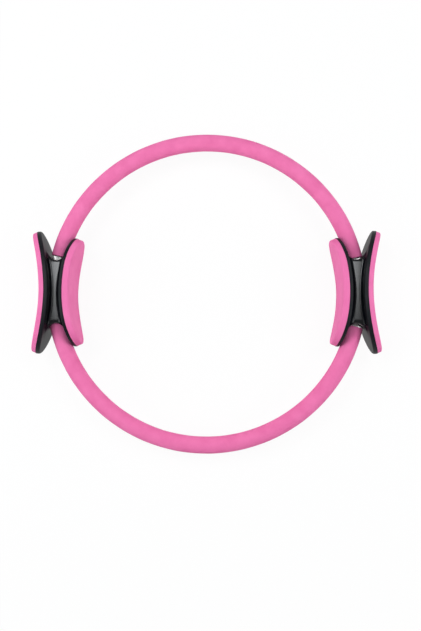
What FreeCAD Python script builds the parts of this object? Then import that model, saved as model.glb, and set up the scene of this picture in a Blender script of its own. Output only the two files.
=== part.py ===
import FreeCAD
import Part
import math
import os

# Pilates ring lying flat. Sprung fibreglass strips, paired and sleeved in foam, form the hoop.
# Two moulded grips close it, each a pair of flanges back to back on a narrow waist, with a foam pad on each flange.
# +X points to the right grip, +Y to the upper half, +Z up along the ring's axis.
# The origin is on the ground, under the middle of the ring. Lengths are in millimetres.

# Hoop
hoop_radius = 167.0
strip_thickness = 2.9
strip_width = 10.0
strip_gap = 0.1
sleeve_diameter = 18.5
sleeve_bore = 12.4

# Distance from each grip's mouth to the foam, less than zero where the foam is tucked in
upper_left_sleeve_gap = 5.5
upper_right_sleeve_gap = 3.0
lower_left_sleeve_gap = -2.6
lower_right_sleeve_gap = 4.0

# Flanges, each an oval plate with two straight sides
grip_width = 63.0
outer_flange_length = 135.5
outer_flange_flat = 20.0
outer_flange_thickness = 4.4
outer_seat_radius = 171.0
outer_seat_offset = 6.2
inner_flange_length = 119.6
inner_flange_flat = 52.0
inner_flange_thickness = 3.6
flange_edge_radius = 1.2
sleeve_clearance = 0.4

# Waist between the flanges
waist_length = 68.0
waist_depth = 28.0
waist_crown = 1.0
waist_corner_radius = 2.0
inner_waist_fillet = 5.0
outer_waist_fillet = 2.0
collar_height = 2.6
groove_width = 0.8
groove_depth = 0.7
mouth_depth = 4.0
mouth_clearance = 0.3
channel_clearance = 0.3
stop_thickness = 3.0

# Hollows that lighten the waist, one each side of the strip channel
hollow_width = 3.6
hollow_depth = 7.0
hollow_end_wall = 5.4

# Pads
outer_pad_thickness = 5.5
inner_pad_thickness = 6.8
pad_crown = 1.0
pad_inset = 0.5
pad_edge_radius = 1.8

# Screws through the outer shell into the inner one
screw_diameter = 3.0
screw_length = 14.0
screw_head_diameter = 6.0
screw_head_height = 2.2
screw_head_round = 0.6
screw_cover = 1.6
screw_from_mouth = 12.0
screw_hole_clearance = 0.3
screw_pilot_clearance = 0.05
screw_tip_room = 0.6
drive_slot_length = 3.2
drive_slot_width = 0.8
drive_slot_depth = 1.1

# Pins through the strip ends
pin_diameter = 3.0
pin_from_strip_end = 12.2
pin_bite = 3.5
pin_cover = 2.5
pin_socket_clearance = 0.05
pin_strip_clearance = 0.3

# Places that follow from those sizes
ground_lift = grip_width / 2
half_waist = waist_length / 2
outer_axis_x = hoop_radius + outer_seat_offset + outer_seat_radius
outer_ring_side_radius = outer_seat_radius + outer_flange_thickness
parting_radius = outer_ring_side_radius + collar_height
inner_ring_side_radius = hoop_radius - sleeve_diameter / 2 - sleeve_clearance
inner_seat_radius = inner_ring_side_radius - inner_flange_thickness
channel_half_height = strip_gap / 2 + strip_thickness + channel_clearance
channel_half_width = strip_width / 2 + channel_clearance
strip_end_y = stop_thickness / 2 + channel_clearance
pin_y = strip_end_y + pin_from_strip_end
screw_y = half_waist - screw_from_mouth
wall_middle_z = (channel_half_width + waist_depth / 2) / 2

# Building aids: how far tools reach past the grip, how deep joined shapes meet, and what counts as the same place
grip_low_x = hoop_radius / 2
grip_high_x = outer_axis_x
weld = 1.0
touch = 0.01

origin = FreeCAD.Vector(0, 0, 0)
outward = FreeCAD.Vector(1, 0, 0)
upper = FreeCAD.Vector(0, 1, 0)
up = FreeCAD.Vector(0, 0, 1)


def inner_x(radius, y):
    """Place along X of an arc about the ring's own axis."""
    return math.sqrt(radius ** 2 - y ** 2)


def outer_x(radius, y):
    """Place along X of an arc about the outer flange's axis."""
    return outer_axis_x - math.sqrt(radius ** 2 - y ** 2)


def angle_at(y):
    """Angle along the hoop, in degrees, of a point at y on the right."""
    return math.degrees(math.asin(y / hoop_radius))


screw_top_x = outer_x(outer_seat_radius, screw_y) - screw_cover
screw_seat_x = screw_top_x - screw_head_height
screw_tip_x = screw_seat_x - screw_length
screw_places = [(y, z) for y in (-screw_y, screw_y) for z in (-wall_middle_z, wall_middle_z)]
pin_top_x = outer_x(outer_seat_radius, pin_y) - pin_cover
pin_foot_x = inner_x(hoop_radius - channel_half_height, pin_y) - pin_bite


def turned_over(shape):
    """The lower half's copy of an upper piece."""
    return shape.mirror(origin, upper)


def turned_round(shape):
    """The left grip's copy of a right piece: half a turn about the ring's axis."""
    copy = shape.copy()
    copy.rotate(origin, up, 180)
    return copy


def post(axis_x, radius):
    """Tall cylinder about a line parallel to the ring's axis."""
    return Part.makeCylinder(radius, 2 * grip_width, FreeCAD.Vector(axis_x, 0, -grip_width), up)


def rod(x_low, x_high, y, z, radius):
    """Cylinder along X."""
    return Part.makeCylinder(radius, x_high - x_low, FreeCAD.Vector(x_low, y, z), outward)


def box_about(x_low, x_high, y, z, half_y, half_z):
    """Box along X, centred on y and z."""
    corner = FreeCAD.Vector(x_low, y - half_y, z - half_z)
    return Part.makeBox(x_high - x_low, 2 * half_y, 2 * half_z, corner)


def swept_round(section, start, end):
    """Flat section at y = 0 swept about the ring's axis, from one angle to another, in degrees."""
    solid = section.revolve(origin, up, end - start)
    solid.rotate(origin, up, start)
    return solid


def hoop_band(radial_low, radial_high, half_width, start, end):
    corners = [
        FreeCAD.Vector(radial_low, 0, -half_width),
        FreeCAD.Vector(radial_high, 0, -half_width),
        FreeCAD.Vector(radial_high, 0, half_width),
        FreeCAD.Vector(radial_low, 0, half_width),
    ]
    return swept_round(Part.Face(Part.makePolygon(corners + corners[:1])), start, end)


def hoop_bar(radius, start, end):
    circle = Part.makeCircle(radius, FreeCAD.Vector(hoop_radius, 0, 0), upper)
    return swept_round(Part.Face(Part.Wire(circle)), start, end)


def half_ellipse(middle_y, side, semi_y, semi_z):
    """Half of an ellipse at grip_low_x, between its lowest and highest points, bulging towards side * Y."""
    middle = FreeCAD.Vector(grip_low_x, middle_y, 0)
    tip = middle + upper * side * semi_y
    top = middle + up * semi_z
    ellipse = Part.Ellipse(tip, top, middle) if semi_y > semi_z else Part.Ellipse(top, tip, middle)
    at_tip = ellipse.parameter(tip)
    return Part.ArcOfEllipse(ellipse, at_tip - math.pi / 2, at_tip + math.pi / 2).toShape()


def oval_prism(length, flat, width):
    """Prism along X whose section is an oval with two straight sides."""
    semi_y = (length - flat) / 2
    semi_z = width / 2
    edges = [half_ellipse(side * flat / 2, side, semi_y, semi_z) for side in (-1, 1)]
    for z in (-semi_z, semi_z):
        start = FreeCAD.Vector(grip_low_x, -flat / 2, z)
        edges.append(Part.makeLine(start, start + upper * flat))
    outline = Part.Wire(Part.__sortEdges__(edges))
    return Part.Face(outline).extrude(outward * (grip_high_x - grip_low_x))


def rounded(shape, radius, chosen):
    """Shape with a fillet on each edge whose middle point is chosen."""
    edges = []
    for edge in shape.Edges:
        if chosen(edge.valueAt((edge.FirstParameter + edge.LastParameter) / 2)):
            edges.append(edge)
    return shape.makeFillet(radius, edges)


def distance_from(axis_x, point):
    return math.hypot(point.x - axis_x, point.y)


def flange(axis_x, low_radius, high_radius, length, flat):
    """Curved oval plate between two radii, with both rims rounded."""
    plate = post(axis_x, high_radius).cut(post(axis_x, low_radius)).common(oval_prism(length, flat, grip_width))
    wall = high_radius - low_radius
    middle_radius = (low_radius + high_radius) / 2

    def on_a_rim(point):
        return abs(distance_from(axis_x, point) - middle_radius) > wall / 2 - touch

    return rounded(plate, min(flange_edge_radius, 0.45 * wall), on_a_rim)


def waist_bar(skin):
    """Bar along Y that fills the waist, with bulging sides and rounded mouth edges, less a skin."""
    x_low = inner_x(inner_ring_side_radius, half_waist) - weld
    x_high = outer_x(outer_ring_side_radius, half_waist) + weld
    half_depth = waist_depth / 2 - skin
    half_length = half_waist - skin

    def side(sign, height, x):
        return FreeCAD.Vector(x, -half_length, sign * height)

    crown_x = (x_low + x_high) / 2
    arcs = []
    for sign in (-1, 1):
        crown = side(sign, half_depth + waist_crown, crown_x)
        arcs.append(Part.Arc(side(sign, half_depth, x_low), crown, side(sign, half_depth, x_high)).toShape())
    ends = [Part.makeLine(side(-1, half_depth, x), side(1, half_depth, x)) for x in (x_low, x_high)]
    section = Part.Wire(Part.__sortEdges__(arcs + ends))
    bar = Part.Face(section).extrude(upper * 2 * half_length)

    def on_a_mouth_edge(point):
        return abs(point.z) > half_depth + touch and abs(point.y) > half_length - touch

    return rounded(bar, waist_corner_radius, on_a_mouth_edge)


def parting_groove():
    """Shallow groove round the waist where the two shells meet."""
    half_groove = groove_width / 2
    band = post(outer_axis_x, parting_radius + half_groove).cut(post(outer_axis_x, parting_radius - half_groove))
    return band.common(waist_bar(-groove_depth).cut(waist_bar(groove_depth)))


def strip_room():
    """Channel for the strip ends and a wider mouth for the foam, above and below."""
    low = hoop_radius - channel_half_height
    high = hoop_radius + channel_half_height
    channel = hoop_band(low, high, channel_half_width, angle_at(stop_thickness / 2), angle_at(waist_length))
    mouth_start = angle_at(half_waist - mouth_depth)
    mouth = hoop_bar(sleeve_diameter / 2 + mouth_clearance, mouth_start, angle_at(outer_flange_length / 2))
    room = channel.fuse(mouth)
    return [room, turned_over(room)]


def pins(clearance):
    """Lower and upper pin, or with a clearance the holes for them."""
    return [rod(pin_foot_x, pin_top_x, y, 0, pin_diameter / 2 + clearance) for y in (-pin_y, pin_y)]


def joined_at_the_root(plate, waist, axis_x, ring_side_radius, fillet):
    """Flange and waist as one body, with a fillet round the foot of the waist."""
    def at_the_root(point):
        on_flange = abs(distance_from(axis_x, point) - ring_side_radius) < touch
        return on_flange and abs(point.y) < half_waist + touch and abs(point.z) < waist_depth / 2 + waist_crown

    return rounded(plate.fuse(waist), fillet, at_the_root)


def inner_shell():
    """Body of the grip: inner flange, and the waist up to the parting surface."""
    waist = waist_bar(0).cut(post(0, inner_ring_side_radius - weld)).cut(post(outer_axis_x, parting_radius))
    plate = flange(0, inner_seat_radius, inner_ring_side_radius, inner_flange_length, inner_flange_flat)
    body = joined_at_the_root(plate, waist, 0, inner_ring_side_radius, inner_waist_fillet)
    cuts = strip_room() + [parting_groove()] + pins(pin_socket_clearance)
    pilot_radius = screw_diameter / 2 + screw_pilot_clearance
    for y, z in screw_places:
        cuts.append(rod(screw_tip_x - screw_tip_room, grip_high_x, y, z, pilot_radius))
    half_hollow = screw_y - pilot_radius - hollow_end_wall
    for z in (-wall_middle_z, wall_middle_z):
        cuts.append(box_about(hoop_radius - hollow_depth, grip_high_x, 0, z, half_hollow, hollow_width / 2))
    return body.cut(cuts)


def outer_shell():
    """Cover of the grip: outer flange, and the waist down to the parting surface."""
    waist = waist_bar(0).common(post(outer_axis_x, parting_radius))
    waist = waist.cut(post(outer_axis_x, outer_ring_side_radius - weld))
    plate = flange(outer_axis_x, outer_seat_radius, outer_ring_side_radius, outer_flange_length, outer_flange_flat)
    body = joined_at_the_root(plate, waist, outer_axis_x, outer_ring_side_radius, outer_waist_fillet)
    cuts = strip_room() + [parting_groove()] + pins(pin_socket_clearance)
    for y, z in screw_places:
        cuts.append(rod(grip_low_x, grip_high_x, y, z, screw_diameter / 2 + screw_hole_clearance))
        cuts.append(rod(screw_seat_x, grip_high_x, y, z, screw_head_diameter / 2 + screw_hole_clearance))
    return body.cut(cuts)


def pad(axis_x, seat_radius, thickness, length, flat):
    """Foam pad on a curved seat, facing the seat's axis: crowned across its width, with a rounded edge."""
    far_side = -1 if axis_x == 0 else 1

    def place(depth, z):
        return FreeCAD.Vector(axis_x + far_side * (seat_radius - depth), 0, z)

    half_width = grip_width / 2
    section = Part.Wire([
        Part.makeLine(place(0, -half_width), place(0, half_width)),
        Part.makeLine(place(0, half_width), place(thickness, half_width)),
        Part.Arc(place(thickness, half_width), place(thickness + pad_crown, 0), place(thickness, -half_width)).toShape(),
        Part.makeLine(place(thickness, -half_width), place(0, -half_width)),
    ])
    ring = Part.Face(section).revolve(FreeCAD.Vector(axis_x, 0, 0), up, 360)
    slab = ring.common(oval_prism(length - 2 * pad_inset, flat, grip_width - 2 * pad_inset))

    def round_the_face(point):
        return seat_radius - distance_from(axis_x, point) > thickness - touch

    return rounded(slab, min(pad_edge_radius, 0.45 * thickness), round_the_face)


def screw(y, z):
    """Pan-head screw along X with a cross recess, its head outermost."""
    head = rod(screw_seat_x, screw_top_x, y, z, screw_head_diameter / 2)
    head = rounded(head, screw_head_round, lambda point: point.x > screw_top_x - touch)
    shank = rod(screw_tip_x, screw_seat_x, y, z, screw_diameter / 2)
    half_width = drive_slot_width / 2
    half_length = drive_slot_length / 2
    floor_x = screw_top_x - drive_slot_depth
    slots = [
        box_about(floor_x, grip_high_x, y, z, half_width, half_length),
        box_about(floor_x, grip_high_x, y, z, half_length, half_width),
    ]
    return head.fuse(shank).cut(slots)


def upper_strip(radial_low):
    """Strip from stop to stop round the upper half, drilled for a pin at each end."""
    start = angle_at(strip_end_y)
    strip = hoop_band(radial_low, radial_low + strip_thickness, strip_width / 2, start, 180 - start)
    return strip.cut(rod(-grip_high_x, grip_high_x, pin_y, 0, pin_diameter / 2 + pin_strip_clearance))


def upper_sleeve(right_gap, left_gap):
    """Foam tube round the upper half, from one grip to the other."""
    start = angle_at(half_waist + right_gap)
    end = 180 - angle_at(half_waist + left_gap)
    return hoop_bar(sleeve_diameter / 2, start, end).cut(hoop_bar(sleeve_bore / 2, start, end))


outer_strip = upper_strip(hoop_radius + strip_gap / 2)
inner_strip = upper_strip(hoop_radius - strip_gap / 2 - strip_thickness)
nodes = {
    "upper_sleeve": upper_sleeve(upper_right_sleeve_gap, upper_left_sleeve_gap),
    "lower_sleeve": turned_over(upper_sleeve(lower_right_sleeve_gap, lower_left_sleeve_gap)),
    "upper_outer_strip": outer_strip,
    "upper_inner_strip": inner_strip,
    "lower_outer_strip": turned_over(outer_strip),
    "lower_inner_strip": turned_over(inner_strip),
}

lower_pin, upper_pin = pins(0)
nodes["right_lower_strip_pin"] = lower_pin
nodes["right_upper_strip_pin"] = upper_pin
nodes["left_lower_strip_pin"] = turned_round(upper_pin)
nodes["left_upper_strip_pin"] = turned_round(lower_pin)

grip_pieces = {
    "outer_shell": outer_shell(),
    "inner_shell": inner_shell(),
    "outer_pad": pad(outer_axis_x, outer_seat_radius, outer_pad_thickness, outer_flange_length, outer_flange_flat),
    "inner_pad": pad(0, inner_seat_radius, inner_pad_thickness, inner_flange_length, inner_flange_flat),
    "shell_screws": Part.makeCompound([screw(y, z) for y, z in screw_places]),
}
for name, piece in grip_pieces.items():
    nodes["right_" + name] = piece
    nodes["left_" + name] = turned_round(piece)

os.makedirs("parts", exist_ok=True)
for name, shape in sorted(nodes.items()):
    shape.translate(up * ground_lift)
    shape.exportStep("parts/" + name + ".step")
    state = "valid" if shape.isValid() else "not valid"
    print(name, len(shape.Solids), "solids", round(shape.Volume), "mm3", state)
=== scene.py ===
# %% [markdown]
# # A pilates ring
# Two pairs of fibreglass strips in a pink foam sleeve spring between two black grips, and each grip has a
# foam pad on both of its faces. The solids of the ring come in as a fixed frame, in metres and at their
# real size. This lesson dresses them: first comes the camera, then the finishes and the pieces, and last
# the light.

# %% Load the frame
import math

import bmesh
import bpy
import numpy as np
from mathutils import Matrix, Vector, noise


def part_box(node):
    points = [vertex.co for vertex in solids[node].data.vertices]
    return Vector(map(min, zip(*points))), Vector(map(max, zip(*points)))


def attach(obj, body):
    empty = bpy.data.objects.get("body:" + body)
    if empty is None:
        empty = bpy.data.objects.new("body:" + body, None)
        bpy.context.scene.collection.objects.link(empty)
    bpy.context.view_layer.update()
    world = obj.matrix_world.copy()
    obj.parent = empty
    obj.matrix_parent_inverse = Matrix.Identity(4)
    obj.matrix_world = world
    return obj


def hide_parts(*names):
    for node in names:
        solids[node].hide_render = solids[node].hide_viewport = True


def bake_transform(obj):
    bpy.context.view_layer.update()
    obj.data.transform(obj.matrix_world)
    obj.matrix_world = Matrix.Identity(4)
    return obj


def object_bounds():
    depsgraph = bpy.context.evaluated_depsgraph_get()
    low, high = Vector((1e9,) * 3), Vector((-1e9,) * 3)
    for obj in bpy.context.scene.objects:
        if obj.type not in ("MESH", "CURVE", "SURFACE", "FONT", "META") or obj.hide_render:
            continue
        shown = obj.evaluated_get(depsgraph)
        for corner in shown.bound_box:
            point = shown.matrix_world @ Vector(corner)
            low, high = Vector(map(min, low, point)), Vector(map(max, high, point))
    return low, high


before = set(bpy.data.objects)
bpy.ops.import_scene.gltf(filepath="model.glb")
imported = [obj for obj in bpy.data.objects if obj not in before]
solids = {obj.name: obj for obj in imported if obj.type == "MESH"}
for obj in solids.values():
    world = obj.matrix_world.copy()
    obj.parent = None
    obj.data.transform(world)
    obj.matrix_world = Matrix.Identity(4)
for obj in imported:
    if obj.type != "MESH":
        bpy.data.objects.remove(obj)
cad_low, cad_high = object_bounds()
print("frame:", len(solids), "solids,", [round(side, 4) for side in cad_high - cad_low], "m")

# %% [markdown]
# ## Camera
# The ring lies flat and the camera looks down on it from 0.9 m, a little from the lower right, so the
# faces of both inner pads can be seen. The lens and the place were found by laying the ring's circles and
# the edges of its outer pads and flanges over the photograph. Building the camera from its three axes
# keeps it free of any tracking constraint.

# %% Camera
image_height = 631
focal_length_in_pixels = 804.7
sensor_size = 36.0
camera_distance = 0.887
camera_tilt = math.radians(3.55)
camera_yaw = math.radians(1.25)
ring_right_of_middle = -0.00491
ring_above_middle = 0.02554

ring_height = (cad_low.z + cad_high.z) / 2
ring_centre = Vector((0, 0, ring_height))
view_right = Vector((
    math.cos(camera_yaw),
    math.sin(camera_yaw) * math.sin(camera_tilt),
    -math.sin(camera_yaw) * math.cos(camera_tilt),
))
view_up = Vector((0, math.cos(camera_tilt), math.sin(camera_tilt)))
view_back = view_right.cross(view_up)


def placed(name, data):
    """New object with this data, in the scene."""
    obj = bpy.data.objects.new(name, data)
    bpy.context.scene.collection.objects.link(obj)
    return obj


camera_data = bpy.data.cameras.new("camera")
camera_data.sensor_width = sensor_size
camera_data.lens = sensor_size * focal_length_in_pixels / image_height
camera = placed("camera", camera_data)
camera.matrix_world = Matrix((view_right, view_up, view_back)).transposed().to_4x4()
camera.location = (
    ring_centre
    - view_right * ring_right_of_middle
    - view_up * ring_above_middle
    + view_back * camera_distance
)
bpy.context.scene.camera = camera
print("camera:", round(camera_data.lens, 2), "mm lens at", [round(x, 3) for x in camera.location])

# %% [markdown]
# ## Small helpers for node trees
# Every finish and every grown piece below is a node tree. One helper feeds a node's sockets, each with a
# number or with another node's output, and the others add a node that is fed at once. That keeps a tree
# readable from top to bottom.

# %% Node helpers
def feed(tree, node, feeds):
    """Feed a node's inputs, by name or in order: a value to hold, or an output to link."""
    for place, value in feeds.items() if isinstance(feeds, dict) else enumerate(feeds):
        if isinstance(value, bpy.types.NodeSocket):
            tree.links.new(value, node.inputs[place])
        else:
            node.inputs[place].default_value = value


def add(tree, kind, feeds=(), **settings):
    """Add a node with these settings and feeds."""
    node = tree.nodes.new(kind)
    for setting, value in settings.items():
        setattr(node, setting, value)
    feed(tree, node, feeds)
    return node


def made(tree, kind, feeds=(), **settings):
    """Add a node, and return what it puts out first."""
    return add(tree, kind, feeds, **settings).outputs[0]


def calc(tree, operation, *feeds):
    """One step of arithmetic, as the output of a Math node."""
    return made(tree, "ShaderNodeMath", feeds, operation=operation)


def new_tree(kind, name, inputs, outputs):
    """Tree with sockets listed by kind. Returns it, its inputs and the node that takes its outputs."""
    tree = bpy.data.node_groups.new(name, kind)
    for direction, sockets in (("INPUT", inputs), ("OUTPUT", outputs)):
        for socket_kind, labels in sockets.items():
            for label in labels:
                tree.interface.new_socket(label, in_out=direction, socket_type="NodeSocket" + socket_kind)
    given = tree.nodes.new("NodeGroupInput").outputs
    return tree, given, tree.nodes.new("NodeGroupOutput")


print("node helpers ready")

# %% [markdown]
# ## Closed-cell foam
# Sleeve and pads are the same kind of rubbery foam: a dull, faintly mottled skin with fine closed cells,
# and open pits where it was cut. Both finishes need the same pattern at their own scale, so it is a group
# with named inputs. It puts out plain values, and each material keeps its own shader.

# %% Foam pattern
def object_place(tree):
    """Place on a piece. Every piece sits at the origin, so this is also its place in the ring."""
    return add(tree, "ShaderNodeTexCoord").outputs["Object"]


def noise_at(tree, place, scale, detail):
    return made(tree, "ShaderNodeTexNoise", {"Vector": place, "Scale": scale, "Detail": detail})


def foam_pattern():
    sizes = {"Float": ("Cell Size", "Mottle Size", "Cut")}
    tree, given, result = new_tree("ShaderNodeTree", "foam_pattern", sizes, {"Float": ("Tone", "Height")})
    place = object_place(tree)
    cell_scale = calc(tree, "DIVIDE", 1, given["Cell Size"])
    cells = add(tree, "ShaderNodeTexVoronoi", {"Vector": place, "Scale": cell_scale}).outputs["Distance"]
    grain = noise_at(tree, place, calc(tree, "MULTIPLY", cell_scale, 1.7), 2)
    mottle = noise_at(tree, place, calc(tree, "DIVIDE", 1, given["Mottle Size"]), 3)
    pits = calc(tree, "MULTIPLY", cells, calc(tree, "MULTIPLY_ADD", given["Cut"], 0.8, 0.2))
    tone = calc(tree, "MULTIPLY_ADD", mottle, 0.7, calc(tree, "MULTIPLY", grain, 0.3))
    feed(tree, result, {
        "Tone": calc(tree, "MULTIPLY_ADD", given["Cut"], -0.12, tone),
        "Height": calc(tree, "MULTIPLY_ADD", grain, 0.5, pits),
    })
    return tree


foam = foam_pattern()
print("foam pattern:", len(foam.nodes), "nodes")

# %% [markdown]
# The two foams differ in scale and colour. The sleeve is extruded and has coarser cells, and the pads are
# cut from sheet. Tone runs between a deep and a pale pink. A little sheen stands for the fuzz that pales
# foam at a low angle.

# %% Foam materials
noise_range = (0.3, 0.7)
foam_roughness = (0.82, 0.70)


def new_material(name):
    """Material with no nodes but its shader and its output. Returns it, its tree and the shader."""
    material = bpy.data.materials.new(name)
    material.use_nodes = True
    return material, material.node_tree, material.node_tree.nodes["Principled BSDF"]


def between(tree, value, low, high, to_low, to_high):
    """Value carried from one range to another, and held inside it."""
    feeds = {"Value": value, "From Min": low, "From Max": high, "To Min": to_low, "To Max": to_high}
    return made(tree, "ShaderNodeMapRange", feeds)


def blend_colours(tree, factor, first, second):
    """Mix of two colours. A Mix node's sockets share their names, so they are picked by number."""
    return add(tree, "ShaderNodeMix", {0: factor, 6: first, 7: second}, data_type="RGBA").outputs[2]


def relief(tree, height, depth, strength):
    """Fine relief: a height pattern, this deep in metres, as a normal for the shader."""
    return made(tree, "ShaderNodeBump", {"Height": height, "Distance": depth, "Strength": strength})


def foam_material(name, deep, pale, cell_size, mottle_size, pit_depth):
    material, tree, shader = new_material(name)
    cut = add(tree, "ShaderNodeAttribute", attribute_name="cut_foam").outputs["Fac"]
    sizes = {"Cell Size": cell_size, "Mottle Size": mottle_size, "Cut": cut}
    pattern = add(tree, "ShaderNodeGroup", sizes, node_tree=foam).outputs
    paleness = between(tree, pattern["Tone"], *noise_range, 0, 1)
    feed(tree, shader, {
        "Base Color": blend_colours(tree, paleness, deep, pale),
        "Roughness": between(tree, pattern["Tone"], *noise_range, *foam_roughness),
        "Normal": relief(tree, pattern["Height"], depth=pit_depth, strength=0.35),
        "Specular IOR Level": 0.15,
        "Sheen Weight": 0.04,
        "Sheen Roughness": 0.4,
        "Sheen Tint": (1.0, 0.6, 0.8, 1),
    })
    return material


sleeve_foam = foam_material(
    "sleeve_foam", deep=(0.79, 0.155, 0.375, 1), pale=(0.88, 0.205, 0.450, 1),
    cell_size=0.0011, mottle_size=0.014, pit_depth=0.0002,
)
pad_foam = foam_material(
    "pad_foam", deep=(0.82, 0.175, 0.415, 1), pale=(0.89, 0.220, 0.475, 1),
    cell_size=0.0008, mottle_size=0.020, pit_depth=0.00015,
)
print("foam materials:", sleeve_foam.name, pad_foam.name)

# %% [markdown]
# ## Black plastic
# The grips are moulded in black: polished on the waist, where a softbox shows as a grey band, and finely
# textured on the flanges, which only gleam at a low angle. Hairline scuffs and a slow haze keep both from
# looking like lacquer. The pattern is shared with the steel below, so it is a group too.

# %% Handled surface pattern
scuff_half_width = 0.006


def handled_pattern():
    sizes = {"Float": ("Grain Size", "Haze Size", "Scuff Spacing")}
    results = {"Float": ("Grain", "Haze", "Scuff")}
    tree, given, result = new_tree("ShaderNodeTree", "handled_pattern", sizes, results)
    place = object_place(tree)
    for label, detail in (("Grain", 2), ("Haze", 4)):
        scale = calc(tree, "DIVIDE", 1, given[label + " Size"])
        feed(tree, result, {label: noise_at(tree, place, scale, detail)})
    feeds = {"Vector": place, "Rotation": (0.4, 0.7, 0.3), "Scale": (1, 0.12, 0.3)}
    turned = made(tree, "ShaderNodeMapping", feeds)
    lines = noise_at(tree, turned, calc(tree, "DIVIDE", 1, given["Scuff Spacing"]), 1)
    off_line = calc(tree, "ABSOLUTE", calc(tree, "SUBTRACT", lines, 0.5))
    feed(tree, result, {"Scuff": between(tree, off_line, 0, scuff_half_width, 1, 0)})
    return tree


handled = handled_pattern()


def handled_group(tree, grain_size, haze_size, scuff_spacing):
    """The handled surface pattern in a material's tree, at this material's scale."""
    sizes = {"Grain Size": grain_size, "Haze Size": haze_size, "Scuff Spacing": scuff_spacing}
    return add(tree, "ShaderNodeGroup", sizes, node_tree=handled).outputs


print("handled surface pattern:", len(handled.nodes), "nodes")

# %% [markdown]
# Polish is a matter of place: near the middle of the grip, where both the height and the length are
# small, the surface is polished, and it turns to texture further out. Object coordinates give that place.
# The texture traps light and mirrors little of what stands straight above it, so the polish is a coat on
# top of it.

# %% Black plastic material
polish_half_length = 0.036
polish_half_height = 0.021
polish_fade = 0.004
polish_gloss = 0.65
polished_roughness = 0.17
textured_roughness = 0.45
scuff_colour = (0.03, 0.03, 0.034, 1)


def axes_of(tree, place):
    """The parts of a vector, by axis."""
    return add(tree, "ShaderNodeSeparateXYZ", (place,)).outputs


def black_plastic_material():
    material, tree, shader = new_material("black_plastic")
    pattern = handled_group(tree, grain_size=0.0007, haze_size=0.03, scuff_spacing=0.02)
    axes = axes_of(tree, object_place(tree))
    along = calc(tree, "ABSOLUTE", axes["Y"])
    across = calc(tree, "ABSOLUTE", calc(tree, "SUBTRACT", axes["Z"], ring_height))
    in_length = between(tree, along, polish_half_length, polish_half_length + polish_fade, 1, 0)
    in_height = between(tree, across, polish_half_height, polish_half_height + polish_fade, 1, 0)
    polish = calc(tree, "MULTIPLY", in_length, in_height)
    rough = between(tree, polish, 0, 1, textured_roughness, polished_roughness)
    rough = calc(tree, "MULTIPLY_ADD", pattern["Haze"], 0.06, rough)
    black = blend_colours(tree, pattern["Haze"], (0.0035, 0.0042, 0.0065, 1), (0.0055, 0.0065, 0.0095, 1))
    scuffed = calc(tree, "MULTIPLY", pattern["Scuff"], 0.3)
    texture = calc(tree, "MULTIPLY", pattern["Grain"], between(tree, polish, 0, 1, 1, 0.1))
    feed(tree, shader, {
        "Base Color": blend_colours(tree, scuffed, black, scuff_colour),
        "Roughness": calc(tree, "MULTIPLY_ADD", pattern["Scuff"], 0.10, rough),
        "Coat Weight": calc(tree, "MULTIPLY", polish, polish_gloss),
        "Normal": relief(tree, texture, depth=0.00006, strength=0.5),
        "IOR": 1.48,
        "Specular IOR Level": 0.22,
        "Coat Roughness": 0.18,
    })
    return material


black_plastic = black_plastic_material()
print("black plastic:", len(black_plastic.node_tree.nodes), "nodes")

# %% [markdown]
# ## Fibreglass and steel
# The strips are pulled through resin with all their glass lengthwise, so streaks run round the hoop.
# Polar places, worked out from Object coordinates, make the streaks follow it. The screws and pins are
# zinc plated steel, a metal with the same haze and scuffs as the plastic.

# %% Fibreglass and steel materials
fibres_per_metre = 1500
pattern_per_radian = 0.006


def vector(tree, x, y, z):
    return made(tree, "ShaderNodeCombineXYZ", (x, y, z))


def fibreglass_material():
    material, tree, shader = new_material("fibreglass")
    axes = axes_of(tree, object_place(tree))
    angle = calc(tree, "ARCTAN2", axes["Y"], axes["X"])
    radius = calc(tree, "SQRT", calc(tree, "ADD", *(calc(tree, "POWER", axes[axis], 2) for axis in "XY")))
    fibre_place = vector(tree, calc(tree, "MULTIPLY", angle, pattern_per_radian), radius, axes["Z"])
    fibres = noise_at(tree, fibre_place, fibres_per_metre, 3)
    paleness = between(tree, fibres, *noise_range, 0, 1)
    feed(tree, shader, {
        "Base Color": blend_colours(tree, paleness, (0.78, 0.77, 0.75, 1), (0.93, 0.92, 0.90, 1)),
        "Roughness": between(tree, fibres, *noise_range, 0.5, 0.32),
        "Normal": relief(tree, fibres, depth=0.0001, strength=0.4),
    })
    return material


def steel_material():
    material, tree, shader = new_material("steel")
    pattern = handled_group(tree, grain_size=0.0004, haze_size=0.003, scuff_spacing=0.004)
    rough = calc(tree, "MULTIPLY_ADD", pattern["Scuff"], 0.1, 0.18)
    feed(tree, shader, {
        "Base Color": blend_colours(tree, pattern["Haze"], (0.48, 0.48, 0.47, 1), (0.66, 0.66, 0.64, 1)),
        "Roughness": calc(tree, "MULTIPLY_ADD", pattern["Haze"], 0.25, rough),
        "Normal": relief(tree, pattern["Grain"], depth=0.00003, strength=0.3),
        "Metallic": 1.0,
    })
    return material


fibreglass = fibreglass_material()
steel = steel_material()
for side in ("left", "right"):
    for pin in ("upper_strip_pin", "lower_strip_pin"):
        solids[f"{side}_{pin}"].material_slots[0].material = steel
print("fibreglass and steel ready, steel on 4 pins")

# %% [markdown]
# ## Growing a piece from a tree
# A Geometry Nodes tree needs an object to live on. One helper makes an empty one, sets the tree's inputs
# by their identifiers, takes the evaluated result as a plain mesh and drops the modifier. The mesh is
# then tidied: normals point outwards, and only corners sharper than a set angle stay sharp. Instances are
# made real at the end of each tree.

# %% Grow and finish helpers
sharp_corner = math.radians(35)


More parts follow.
